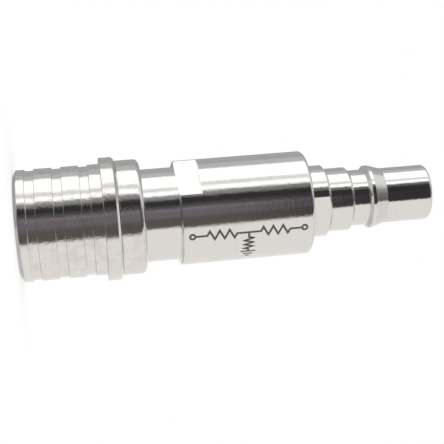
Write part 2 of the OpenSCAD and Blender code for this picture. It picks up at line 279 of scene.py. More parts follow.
class Surface(Wiring):
    """Material under construction, with its Principled shader."""

    def __init__(self, name: str, effects: EffectGroups) -> None:
        """Start a material.

        Args:
            name: Name of the material.
            effects: Shared effect groups.
        """
        self.material = bpy.data.materials.new(name)
        self.material.use_nodes = True
        super().__init__(self.material.node_tree)
        self.shader = self.tree.nodes["Principled BSDF"]
        self.effects = effects

    def effect(self, effect: Effect, **values: float) -> Node:
        """Place a shared effect with its own values."""
        return self.node("ShaderNodeGroup", self.effects.trees[effect], **values)

    def tint(self, mask: Socket, low: Colour | Socket, high: Colour) -> Socket:
        """Mix the base colour by a mask.

        Args:
            mask: Output that picks between the colours.
            low: Colour or earlier tint where the mask is 0.
            high: Colour where the mask is 1.

        Returns:
            The mixed colour.
        """
        colour = self.mix(mask, low, high)
        self.link((colour, self.shader.inputs["Base Color"]))
        return colour

    def gloss(self, mask: Socket, roughness: Span) -> None:
        """Vary the roughness by a mask.

        Args:
            mask: Output that picks between the values.
            roughness: Roughness where the mask is 0 and where it is 1.
        """
        varied = self.remap(mask, (0.0, 1.0), roughness)
        self.link((varied, self.shader.inputs["Roughness"]))

    def relief(self, height: Socket, depth_mm: float) -> None:
        """Bump the surface by a height, on top of any earlier relief.

        Args:
            height: Output that gives the height.
            depth_mm: Depth of the relief in millimetres.
        """
        bump = self.node("ShaderNodeBump", Strength=1.0, Distance=depth_mm * MM)
        normal = self.shader.inputs["Normal"]
        for link in normal.links:
            self.link((link.from_socket, bump.inputs["Normal"]))
        self.link((height, bump.inputs["Height"]), (bump.outputs["Normal"], normal))


@dataclass(frozen=True)
class TurnedMetal:
    """Bright turned metal with fine marks round its axis."""

    name: str
    colour: Colour
    dulled: Colour
    polish: float = 0.075
    smudged: float = 0.13
    lines_per_metre: float = 9000.0
    mark_depth_mm: float = 0.0001
    waves_per_metre: float = 2600.0
    wave_depth_mm: float = 0.009
    stained: Colour | None = None
    stains_per_metre: float = 900.0

    def material(self, effects: EffectGroups) -> bpy.types.Material:
        """Make the metal's material.

        Args:
            effects: Shared effect groups.

        Returns:
            The new material.
        """
        surface = Surface(self.name, effects)
        surface.shader.inputs["Metallic"].default_value = 1.0
        marks = surface.effect(Effect.TURNING_MARKS, Lines_per_metre=self.lines_per_metre)
        smudges = surface.effect(Effect.SMUDGES)
        waves = surface.effect(Effect.SPECKS, Scale=self.waves_per_metre)
        colour = surface.tint(marks.outputs["Mask"], self.colour, self.dulled)
        if self.stained:
            stains = surface.effect(Effect.SMUDGES, Scale=self.stains_per_metre)
            surface.tint(stains.outputs["Mask"], colour, self.stained)
        surface.gloss(smudges.outputs["Mask"], (self.polish, self.smudged))
        surface.relief(marks.outputs["Height"], self.mark_depth_mm)
        surface.relief(waves.outputs["Height"], self.wave_depth_mm)
        return surface.material


@dataclass(frozen=True)
class MatteSolid:
    """Non-metallic solid with a fine grain."""

    name: str
    colour: Colour
    grain: Colour
    roughness: float = 0.5
    rough_grain: float = 0.65
    scale: float = 4000.0
    grain_depth_mm: float = 0.0006

    def material(self, effects: EffectGroups) -> bpy.types.Material:
        """Make the solid's material.

        Args:
            effects: Shared effect groups.

        Returns:
            The new material.
        """
        surface = Surface(self.name, effects)
        specks = surface.effect(Effect.SPECKS, Scale=self.scale)
        smudges = surface.effect(Effect.SMUDGES)
        surface.tint(specks.outputs["Mask"], self.colour, self.grain)
        surface.gloss(smudges.outputs["Mask"], (self.roughness, self.rough_grain))
        surface.relief(specks.outputs["Height"], self.grain_depth_mm)
        return surface.material


class Finishes:
    """Materials of the slots, of the plate that hands touch and of the laser mark."""

    SLOTS = {
        Slot.PLATED_BRASS: TurnedMetal(
            "bright_plated_brass", (0.79, 0.78, 0.765), (0.765, 0.754, 0.738)),
        Slot.GOLD: TurnedMetal(
            "gold_plate", (0.9, 0.67, 0.3), (0.84, 0.6, 0.25), polish=0.16, smudged=0.24),
        Slot.RAW_BRASS: TurnedMetal(
            "plain_brass", (0.78, 0.58, 0.27), (0.62, 0.44, 0.2), polish=0.24, smudged=0.36),
        Slot.SPRING_STEEL: TurnedMetal(
            "drawn_spring_wire", (0.55, 0.55, 0.56), (0.42, 0.42, 0.43), polish=0.22, smudged=0.34),
        Slot.SILVER_PRINT: TurnedMetal(
            "fired_silver_print", (0.82, 0.8, 0.76), (0.7, 0.68, 0.63), polish=0.34, smudged=0.46),
        Slot.DIELECTRIC: MatteSolid(
            "white_fluoropolymer", (0.88, 0.88, 0.86), (0.8, 0.8, 0.78), 0.38, 0.5),
        Slot.CERAMIC: MatteSolid(
            "fired_ceramic", (0.86, 0.83, 0.76), (0.76, 0.73, 0.66), 0.55, 0.68),
        Slot.FILM: MatteSolid(
            "resistive_film", (0.05, 0.05, 0.055), (0.1, 0.1, 0.105), 0.42, 0.55),
    }
    HANDLED_PLATE = TurnedMetal(
        "handled_plated_brass", (0.805, 0.793, 0.778), (0.775, 0.762, 0.746),
        wave_depth_mm=0.013, stained=(0.722, 0.698, 0.686))
    LASER_MARK = MatteSolid(
        "laser_darkened_plate", (0.118, 0.106, 0.099), (0.19, 0.175, 0.167), 0.45, 0.6, 9000.0)

    def __init__(self, effects: EffectGroups) -> None:
        """Make every finish's material.

        Args:
            effects: Shared effect groups.
        """
        self.by_slot = {slot: finish.material(effects) for slot, finish in self.SLOTS.items()}
        self.handled_plate = self.HANDLED_PLATE.material(effects)
        self.laser_mark = self.LASER_MARK.material(effects)

    def dress_nodes(self, nodes: NodeSlots) -> None:
        """Give CAD nodes the finishes of their slots.

        Args:
            nodes: Name and slot of each node.
        """
        for node, slot in nodes:
            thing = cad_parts[node]
            thing.data.materials.clear()
            thing.data.materials.append(self.by_slot[slot])
            log.info("dressed CAD node %s as %s", node, slot.value)

    def dress_piece(self, piece: bpy.types.Object, slot: Slot, body: Body, node: str) -> None:
        """Give a new piece its finish, and let it ride in place of a CAD node.

        Args:
            piece: Piece built in the row frame.
            slot: Slot that the finish comes from.
            body: CAD body that carries the piece.
            node: CAD node that the piece stands for.
        """
        handled = body is Body.SLEEVE
        piece.data.materials.append(self.handled_plate if handled else self.by_slot[slot])
        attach(piece, body.value)
        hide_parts(node)
        log.info("built %s on %s", piece.name, body.value)


def add_object(name: str, points: list[Vector], faces: list[tuple[int, ...]],
               normals: list[Vector] | None = None) -> bpy.types.Object:
    """Add a smooth mesh to the scene as a new object.

    Args:
        name: Name of the object and its mesh.
        points: Places of the vertices in metres.
        faces: Vertex numbers of each face.
        normals: Normal at each corner of each face, if they are known.

    Returns:
        The new object.
    """
    mesh = bpy.data.meshes.new(name)
    mesh.from_pydata(points, [], faces)
    mesh.shade_smooth()
    if normals:
        mesh.normals_split_custom_set(normals)
    piece = bpy.data.objects.new(name, mesh)
    bpy.context.scene.collection.objects.link(piece)
    return piece


def node_reach(node: str) -> tuple[float, float, float]:
    """Measure a CAD node.

    Args:
        node: Name of the node.

    Returns:
        Its lowest height, highest height and largest radius in millimetres.
    """
    low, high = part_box(node)
    return low.z / MM, high.z / MM, max(high.x, high.y) / MM


def turned_place(r: float, angle: float, z: float) -> Vector:
    """Place at a radius, an angle round the axis in radians and a height."""
    return Vector((r * math.cos(angle), r * math.sin(angle), z))


@dataclass(frozen=True)
class Corner:
    """Corner of a turned outline in millimetres, with its rounding and whether flats cut it."""

    r: float
    z: float
    rounding: float = 0.0
    flatted: bool = False


@dataclass(frozen=True)
class Station:
    """Point on a rounded outline, with the surface's direction before and after it."""

    r: float
    z: float
    before: Vector
    after: Vector
    flatted: bool


@dataclass(frozen=True)
class Flats:
    """Pair of wrench flats on a turned piece."""

    half_across: float
    normal_azimuth: float

    def half_angle(self, r: float) -> float:
        """Half the angle that a flat takes on a circle, in radians."""
        return math.acos(min(1.0, self.half_across / r))


class TurnedPiece:
    """Mesh of a turned piece, with exact normals, rounded corners and optional wrench flats."""

    ROUND_CELLS = 72
    FLAT_CELLS = 24
    PLAIN_HALF_DEG = 22.5
    STEP_DEG = 9.0
    SAME = 1e-6

    def __init__(self, corners: list[Corner], flats: Flats | None = None) -> None:
        """Keep the outline.

        Args:
            corners: Closed outline, up the outside and down the bore.
            flats: Wrench flats that cut the flatted corners.
        """
        self.corners = corners
        self.flats = flats
        self.cells = 2 * (self.ROUND_CELLS + self.FLAT_CELLS)
        self.usual_half = math.radians(self.PLAIN_HALF_DEG)
        if flats:
            widest = max(corner.r for corner in corners if corner.flatted)
            self.usual_half = flats.half_angle(widest)

    def _edges(self) -> list[tuple[Vector, float]]:
        """Follow the outline's edges; one of no length, where flats end, steps outward.

        Returns:
            Direction and length of the edge after each corner.
        """
        edges = []
        outward = Vector((1.0, 0.0))
        for corner, following in zip(self.corners, self.corners[1:] + self.corners[:1]):
            run = Vector((following.r - corner.r, following.z - corner.z))
            edges.append((run.normalized() if run.length > self.SAME else outward, run.length))
        return edges

    @staticmethod
    def _outward(direction: Vector) -> Vector:
        """Outward direction of an edge that runs in the given direction."""
        return Vector((direction.y, -direction.x))

    def _trims(self, edges: list[tuple[Vector, float]]) -> list[float]:
        """Fit the corners' roundings to the edges' lengths.

        Args:
            edges: Direction and length of the edge after each corner.

        Returns:
            Length that each corner's rounding takes off its two edges.
        """
        count = len(edges)
        turns = [edges[i - 1][0].angle(edges[i][0]) for i in range(count)]
        wanted = [self.corners[i].rounding * math.tan(turns[i] / 2) for i in range(count)]
        room = [
            min(1.0, edges[i][1] / max(wanted[i] + wanted[(i + 1) % count], self.SAME))
            for i in range(count)
        ]
        return [wanted[i] * min(room[i - 1], room[i]) for i in range(count)]

    def _stations(self) -> list[Station]:
        """Break every rounded corner of the outline into small steps.

        Returns:
            The outline's points in order.
        """
        edges = self._edges()
        points = []
        for i, (corner, trim) in enumerate(zip(self.corners, self._trims(edges))):
            before, after = edges[i - 1][0], edges[i][0]
            start = self._outward(before)
            if trim < self.SAME:
                points.append(
                    Station(corner.r, corner.z, start, self._outward(after), corner.flatted))
                continue
            turn = math.atan2(before.x * after.y - before.y * after.x, before.dot(after))
            side = math.copysign(trim / math.tan(abs(turn) / 2), turn)
            centre = Vector((corner.r, corner.z)) - before * trim - start * side
            steps = max(2, math.ceil(math.degrees(abs(turn)) / self.STEP_DEG))
            for k in range(steps + 1):
                normal = Matrix.Rotation(turn * k / steps, 2) @ start
                place = centre + normal * side
                points.append(Station(place.x, place.y, normal, normal, corner.flatted))
        return points

    def _angles(self, half: float) -> list[Span]:
        """Spread the cells round the axis, over the flats' sectors and between them.

        Args:
            half: Half the angle of a flat's sector in radians.

        Returns:
            Angle round the axis and angle from the flat's middle, for each cell.
        """
        angles = []
        turn = math.radians(self.flats.normal_azimuth) if self.flats else 0.0
        for side in (0.0, math.pi):
            for k in range(self.FLAT_CELLS):
                offset = half * (2 * k / self.FLAT_CELLS - 1)
                angles.append((turn + side + offset, offset))
            for k in range(self.ROUND_CELLS):
                offset = half + (math.pi - 2 * half) * k / self.ROUND_CELLS
                angles.append((turn + side + offset, offset))
        return angles

    def _cut(self, station: Station) -> bool:
        """Whether the flats cut the outline at a station."""
        flatted = self.flats and station.flatted
        return bool(flatted) and station.r > self.flats.half_across - self.SAME

    def _on_flat(self, cell: int) -> bool:
        """Whether a cell round the axis lies in a flat's sector."""
        return cell % (self.FLAT_CELLS + self.ROUND_CELLS) < self.FLAT_CELLS

    def _ring(self, station: Station) -> list[tuple[float, Vector]]:
        """Turn a station round the axis.

        Args:
            station: Point on the outline.

        Returns:
            Angle and place of each point round the axis.
        """
        cut = self._cut(station)
        half = self.flats.half_angle(station.r) if cut else self.usual_half
        ring = []
        for index, (angle, offset) in enumerate(self._angles(half)):
            level = cut and self._on_flat(index)
            r = self.flats.half_across / math.cos(offset) if level else station.r
            ring.append((angle, turned_place(r, angle, station.z)))
        return ring

    def _normals(self, low: Station, high: Station, cell: int, angles: list[float]) -> list[Vector]:
        """Find the normals at the corners of one cell.

        Args:
            low: Station at the cell's start along the outline.
            high: Station at its end.
            cell: Number of the cell round the axis.
            angles: Angle of each corner, two at the start and two at the end.

        Returns:
            One normal for each corner.
        """
        level = abs(high.z - low.z) < self.SAME
        if self._on_flat(cell) and self._cut(low) and self._cut(high) and not level:
            half_turn = math.pi if cell >= self.cells // 2 else 0.0
            azimuth = math.radians(self.flats.normal_azimuth) + half_turn
            return [turned_place(1.0, azimuth, 0.0)] * 4
        slopes = [low.after, low.after, high.before, high.before]
        return [turned_place(slope.x, angle, slope.y) for slope, angle in zip(slopes, angles)]

    def build(self, name: str) -> bpy.types.Object:
        """Make the piece's object.

        Args:
            name: Name of the piece.

        Returns:
            The new object, in the row frame.
        """
        stations = self._stations()
        rings = [self._ring(station) for station in stations]
        places: dict[tuple[int, ...], int] = {}
        points, faces, normals = [], [], []
        for i, low in enumerate(stations):
            j = (i + 1) % len(stations)
            for cell in range(self.cells):
                nearby = (cell + 1) % self.cells
                picks = [rings[i][cell], rings[i][nearby], rings[j][nearby], rings[j][cell]]
                directions = self._normals(low, stations[j], cell, [angle for angle, _ in picks])
                face, face_normals = [], []
                for (_, place), direction in zip(picks, directions):
                    key = tuple(round(value / self.SAME) for value in place)
                    if key not in places:
                        places[key] = len(points)
                        points.append(place * MM)
                    if places[key] not in face:
                        face.append(places[key])
                        face_normals.append(direction)
                if len(face) > 2:
                    faces.append(tuple(face))
                    normals.extend(face_normals)
        return add_object(name, points, faces, normals)


@dataclass
class CouplingSleeve:
    """Sliding sleeve with its retainer ring and release spring, sizes in millimetres."""

    bore_r: float = 4.3
    mouth: float = 0.2
    bevel_l: float = 0.35
    bevel_r: float = 0.6
    bevel_rounding: float = 0.12
    rib_r: float = 6.08
    groove_r: float = 5.915
    groove_starts: tuple[float, ...] = (1.27, 4.14, 7.01)
    groove_w: float = 0.96
    collar_l: float = 1.57
    collar_root: float = 0.03
    chamber_r: float = 5.5
    chamber_z: float = 4.0
    chamfer: float = 0.04
    collar_chamfer: float = 0.24
    edge_rounding: float = 0.02
    retainer_bore_r: float = 5.15
    pilot_r: float = 5.49
    pilot_l: float = 0.78
    ring_chamfer: float = 0.12
    bore_chamfer: float = 0.1
    ring_rounding: float = 0.56
    wire_r: float = 0.25
    wire_sides: int = 14
    coil_r: float = 5.0
    coil_turns: float = 4.5
    coil_gap: float = 0.01
    coil_steps: int = 48
    stop_z: float = 9.0
    travel: float = 1.7

    def _sleeve(self) -> bpy.types.Object:
        """Turn the sleeve: ribbed outside, collar, spring chamber and bore.

        Returns:
            The new piece.
        """
        low, high, collar_r = node_reach("coupling_sleeve")
        soft, c, rear = self.edge_rounding, self.chamfer, self.collar_chamfer
        collar_z = high - self.collar_l
        outline = [Corner(self.bore_r + self.mouth, low, soft),
                   Corner(self.rib_r - self.bevel_r, low, soft),
                   Corner(self.rib_r, low + self.bevel_l, self.bevel_rounding)]
        for start in self.groove_starts:
            end = start + self.groove_w
            outline += [Corner(self.rib_r, start - c, soft), Corner(self.rib_r - c, start, soft),
                        Corner(self.groove_r, start, soft), Corner(self.groove_r, end, soft),
                        Corner(self.rib_r - c, end, soft), Corner(self.rib_r, end + c, soft)]
        outline += [Corner(self.rib_r, collar_z, self.collar_root),
                    Corner(collar_r - c, collar_z, soft), Corner(collar_r, collar_z + c, soft),
                    Corner(collar_r, high - rear, soft), Corner(collar_r - rear, high, soft),
                    Corner(self.chamber_r, high, soft), Corner(self.chamber_r, self.chamber_z),
                    Corner(self.bore_r, self.chamber_z, soft),
                    Corner(self.bore_r, low + self.mouth, soft)]
        return TurnedPiece(outline).build("ribbed_sleeve")

    def _retainer(self) -> bpy.types.Object:
        """Turn the ring behind the collar, with its pilot.

        Returns:
            The new piece.
        """
        low, high, ring_r = node_reach("sleeve_retainer")
        soft, front = self.edge_rounding, self.ring_chamfer
        ring_z = low + self.pilot_l
        return TurnedPiece([
            Corner(self.retainer_bore_r, low, soft), Corner(self.pilot_r, low, soft),
            Corner(self.pilot_r, ring_z), Corner(ring_r - front, ring_z, soft),
            Corner(ring_r, ring_z + front, soft), Corner(ring_r, high, self.ring_rounding),
            Corner(self.retainer_bore_r + self.bore_chamfer, high, soft),
            Corner(self.retainer_bore_r, high - self.bore_chamfer, soft),
        ]).build("retainer_ring")

    def _coil_height(self, turn: float, low: float, length: float) -> float:
        """Follow the wire's centre up the coil, which is closed up at both ends.

        Args:
            turn: Turns from the coil's start.
            low: Height of the coil's foot.
            length: Length of the coil.

        Returns:
            Height of the wire's centre.
        """
        closed = 2 * self.wire_r + self.coil_gap
        pitch = (length - 2 * self.wire_r - 2 * closed) / (self.coil_turns - 2)
        rise = closed * min(turn, 1.0) + pitch * max(0.0, min(turn - 1.0, self.coil_turns - 2))
        return low + self.wire_r + rise + closed * max(0.0, turn - (self.coil_turns - 1))

    def _spring(self) -> bpy.types.Object:
        """Wind the coil of round wire.

        Returns:
            The new piece.
        """
        low, high, _ = node_reach("release_spring")
        steps, sides = self.coil_steps, self.wire_sides
        count = int(self.coil_turns * steps)
        points, faces = [], []
        for i in range(count + 1):
            height = self._coil_height(i / steps, low, high - low)
            for k in range(sides):
                around = math.tau * k / sides
                r = self.coil_r + self.wire_r * math.cos(around)
                z = height + self.wire_r * math.sin(around)
                points.append(turned_place(r, math.tau * i / steps, z) * MM)
        for i in range(count):
            near, far = i * sides, (i + 1) * sides
            for k in range(sides):
                beside = (k + 1) % sides
                faces.append((near + k, far + k, far + beside, near + beside))
        faces.append(tuple(range(sides)))
        faces.append(tuple(count * sides + k for k in reversed(range(sides))))
        return add_object("release_coil", points, faces)

    def build(self, finishes: Finishes) -> None:
        """Build and dress the sleeve, the retainer and the spring.

        Args:
            finishes: Materials to dress them in.
        """
        sleeve, retainer, coil = self._sleeve(), self._retainer(), self._spring()
        finishes.dress_piece(sleeve, Slot.PLATED_BRASS, Body.SLEEVE, "coupling_sleeve")
        finishes.dress_piece(retainer, Slot.PLATED_BRASS, Body.SLEEVE, "sleeve_retainer")
        finishes.dress_piece(coil, Slot.SPRING_STEEL, Body.SPRING, "release_spring")
        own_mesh(coil)


@dataclass
class PlugEnd:
    """Plug's body, collet and contacts, which keep their CAD solids."""

    nodes: NodeSlots = (
        ("plug_body", Slot.PLATED_BRASS),
        ("latch_collet", Slot.PLATED_BRASS),
        ("plug_outer_contact", Slot.GOLD),
        ("plug_insulator", Slot.DIELECTRIC),
        ("plug_pin", Slot.GOLD),
    )

    def build(self, finishes: Finishes) -> None:
        """Dress the plug's CAD nodes."""
        finishes.dress_nodes(self.nodes)


@dataclass
class Housing:
    """Main cylinder with its wrench flats, and the resistor card inside it."""

    bore_r: float = 4.0
    spigot_hole_r: float = 3.315
    spigot_hole_l: float = 3.5
    chamfer: float = 0.16
    end_rounding: float = 0.4
    edge_rounding: float = 0.04
    flat_half: float = 4.98
    flat_l: float = 2.5
    flat_azimuth: float = -90.0
    nodes: NodeSlots = (
        ("ground_shell_front", Slot.RAW_BRASS),
        ("ground_shell_back", Slot.RAW_BRASS),
        ("attenuator_card", Slot.CERAMIC),
        ("resistor_film", Slot.FILM),
        ("line_pads", Slot.SILVER_PRINT),
        ("ground_pads", Slot.SILVER_PRINT),
    )

    def _shell(self) -> bpy.types.Object:
        """Turn the housing, with two flats at the plug's end.

        Returns:
            The new piece.
        """
        low, high, r = node_reach("attenuator_housing")
        soft, c = self.edge_rounding, self.chamfer
        flat_z, step_z = low + self.flat_l, high - self.spigot_hole_l
        return TurnedPiece([
            Corner(self.bore_r, low), Corner(r - c, low, soft, True), Corner(r, low + c, soft, True),
            Corner(r, flat_z, 0.0, True), Corner(r, flat_z), Corner(r, high, self.end_rounding),
            Corner(self.spigot_hole_r, high), Corner(self.spigot_hole_r, step_z),
            Corner(self.bore_r, step_z),
        ], Flats(self.flat_half, self.flat_azimuth)).build("housing_shell")

    def build(self, finishes: Finishes) -> None:
        """Build and dress the housing, and dress what it holds.

        Args:
            finishes: Materials to dress them in.
        """
        shell = self._shell()
        finishes.dress_piece(shell, Slot.PLATED_BRASS, Body.ATTENUATOR, "attenuator_housing")
        finishes.dress_nodes(self.nodes)


@dataclass
class PadMark:
    """Laser mark on the housing: the circuit symbol of a T-shaped resistor pad."""

    middle_z: float = 24.4
    middle_deg: float = -28.0
    stroke: float = 0.23
    lift: float = 0.006
    series_l: float = 3.2
    shunt_l: float = 1.8
    lead: float = 1.3
    shunt_lead: float = 0.6
    earth_lead: float = 0.4
    zigzag: float = 0.5
    teeth: int = 3
    bars: tuple[float, ...] = (1.6, 1.05, 0.5)
    bar_gap: float = 0.5
    ring_r: float = 0.28
    ring_steps: int = 20
    step: float = 0.15
    mitre_limit: float = 0.5

    def _resistor(self, start: Vector, run: Vector) -> list[Vector]:
        """Draw a resistor as a zigzag line.

        Args:
            start: Place where the line starts.
            run: Way from there to its end.

        Returns:
            The line's points.
        """
        across = Vector((-run.y, run.x)).normalized() * self.zigzag
        count = 4 * self.teeth
        peaks = [start + run * k / count + across * math.copysign(1, math.sin(math.pi * k / 2))
                 for k in range(1, count, 2)]
        return [start, *peaks, start + run]

    def _strokes(self) -> list[list[Vector]]:
        """Draw the symbol flat, along the axis and round the housing, in millimetres.

        Returns:
            The points of each line.
        """
        strokes = []
        middle = Vector((0.0, 0.0))
        for side in (-1.0, 1.0):
            inner = Vector((side * self.lead, 0.0))
            run = Vector((side * self.series_l, 0.0))
            end = inner + run + inner
            strokes.append([middle, *self._resistor(inner, run), end])
            centre = end + Vector((side * self.ring_r, 0.0))
            turns = (math.tau * k / self.ring_steps for k in range(self.ring_steps + 1))
            strokes.append([
                centre + self.ring_r * Vector((math.cos(turn), math.sin(turn))) for turn in turns])
        top = Vector((0.0, -self.shunt_lead))
        run = Vector((0.0, -self.shunt_l))
        earth = top + run + Vector((0.0, -self.earth_lead))
        strokes.append([middle, *self._resistor(top, run), earth])
        for k, length in enumerate(self.bars):
            level = earth + Vector((0.0, -k * self.bar_gap))
            half = Vector((length / 2, 0.0))
            strokes.append([level - half, level + half])
        return strokes

    def _fine(self, stroke: list[Vector]) -> list[Vector]:
        """Add points to a line, so that it can follow the housing's curve.

        Args:
            stroke: Points of the line.

        Returns:
            The points with others between them.
        """
        points = [stroke[0]]
        for start, end in zip(stroke, stroke[1:]):
            count = max(1, math.ceil((end - start).length / self.step))
            points += [start.lerp(end, k / count) for k in range(1, count + 1)]
        return points

    def _sides(self, points: list[Vector]) -> list[tuple[Vector, Vector]]:
        """Widen a line, mitred where it turns.

        Args:
            points: Points of the line.

        Returns:
            The places on both sides of each point.
        """
        sides = []
        for i, point in enumerate(points):
            before = (point - points[i - 1]).normalized() if i else None
            after = (points[i + 1] - point).normalized() if i + 1 < len(points) else None
            first, second = before or after, after or before
            along = (first + second).normalized()
            reach = self.stroke / 2 / max(self.mitre_limit, along.dot(first))
            across = Vector((-along.y, along.x)) * reach
            sides.append((point - across, point + across))
        return sides

    def build(self, finishes: Finishes) -> None:
        """Build the mark on the housing and dress it.

        Args:
            finishes: Materials to dress it in.
        """
        _, _, housing_r = node_reach("attenuator_housing")
        r = housing_r + self.lift
        middle = math.radians(VIEW_AZIMUTH - self.middle_deg)
        points, faces = [], []
        for stroke in self._strokes():
            first = len(points)
            for pair in self._sides(self._fine(stroke)):
                for place in pair:
                    z = self.middle_z + place.x
                    points.append(turned_place(r, middle - place.y / r, z) * MM)
            faces += [(at, at + 2, at + 3, at + 1) for at in range(first, len(points) - 2, 2)]
        mark = add_object("pad_symbol_mark", points, faces)
        mark.data.materials.append(finishes.laser_mark)
        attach(mark, Body.ATTENUATOR.value)
        log.info("built %s", mark.name)


@dataclass
class JackEnd:
    """Jack's turned body, with its dielectric and socket as CAD solids."""

    line_r: float = 2.055
    spigot_r: float = 3.305
    spigot_l: float = 3.5
    ring_l: float = 2.37
    cone_l: float = 0.3
    step_r: float = 3.54
    step_l: float = 2.68
    step_chamfer: float = 0.3
    groove_r: float = 3.13
    groove_l: float = 1.75
    ridge_slope_l: float = 0.34
    ridge_l: float = 0.36
    taper_l: float = 1.4
    nose_r: float = 3.1
    nose_rounding: float = 0.35
    nose_bore_r: float = 2.505
    nose_bore_l: float = 4.2
    nose_mouth: float = 0.18
    chamfer: float = 0.1
    edge_rounding: float = 0.04
    flat_half: float = 3.61
    flat_azimuth: float = -21.0
    nodes: NodeSlots = (
        ("jack_insulator", Slot.DIELECTRIC),
        ("jack_socket", Slot.GOLD),
    )

    def _body(self) -> bpy.types.Object:
        """Turn the spigot, the ring with its flats, step, latch groove, ridge, taper and nose.

        Returns:
            The new piece.
        """
        low, high, ring_r = node_reach("jack_body")
        soft, c = self.edge_rounding, self.chamfer
        ring_z = low + self.spigot_l
        step_z = ring_z + self.ring_l
        cone_z = step_z - self.cone_l
        flat_tip_z = cone_z + self.cone_l * (ring_r - self.flat_half) / (ring_r - self.step_r)
        groove_z = step_z + self.step_l
        slope_z = groove_z + self.groove_l
        ridge_z = slope_z + self.ridge_slope_l
        taper_z = ridge_z + self.ridge_l
        nose_z = taper_z + self.taper_l
        floor_z = high - self.nose_bore_l
        return TurnedPiece([
            Corner(self.line_r, low), Corner(self.spigot_r, low),
            Corner(self.spigot_r, ring_z), Corner(ring_r - c, ring_z, soft, True),
            Corner(ring_r, ring_z + c, soft, True), Corner(ring_r, cone_z, soft, True),
            Corner(self.flat_half, flat_tip_z, 0.0, True), Corner(self.step_r, step_z, soft),
            Corner(self.step_r, groove_z - self.step_chamfer, soft),
            Corner(self.step_r - self.step_chamfer, groove_z, soft),
            Corner(self.groove_r, groove_z, soft), Corner(self.groove_r, slope_z, soft),
            Corner(self.step_r, ridge_z, soft), Corner(self.step_r, taper_z, soft),
            Corner(self.nose_r, nose_z, soft), Corner(self.nose_r, high, self.nose_rounding),
            Corner(self.nose_bore_r + self.nose_mouth, high, soft),
            Corner(self.nose_bore_r, high - self.nose_mouth, soft),
            Corner(self.nose_bore_r, floor_z), Corner(self.line_r, floor_z),
        ], Flats(self.flat_half, self.flat_azimuth)).build("jack_shell")

    def build(self, finishes: Finishes) -> None:
        """Build and dress the jack's body and dress its contacts."""
        finishes.dress_piece(self._body(), Slot.PLATED_BRASS, Body.ATTENUATOR, "jack_body")
        finishes.dress_nodes(self.nodes)


class Tier(Enum):
    """Heights at which the studio's cards have colours of their own."""

    BOTTOM = "bottom"
    BENCH = "bench"
    LOW = "low"
    HIGH = "high"
    TOP = "top"


def grey(level: float) -> Colour:
    """Neutral colour of a level."""
    return (level, level, level)


@dataclass(frozen=True)
class Card:
    """Sector of the studio round the object, in degrees upward from the camera's direction."""

    start: float
    end: float
    low: Colour
    bottom: Colour
    top: Colour
    high: Colour | None = None
    bench: Colour | None = None

    def stops(self, tier: Tier) -> list[tuple[float, Colour]]:
        """Both ends of the card with its colour in a tier.

        Args:
            tier: Tier that the colour is for.

        Returns:
            Angle and colour of each end.
        """
        nearby = self.bottom if tier is Tier.BENCH else self.low
        colour = getattr(self, tier.value) or nearby
        return [(self.start, colour), (self.end, colour)]


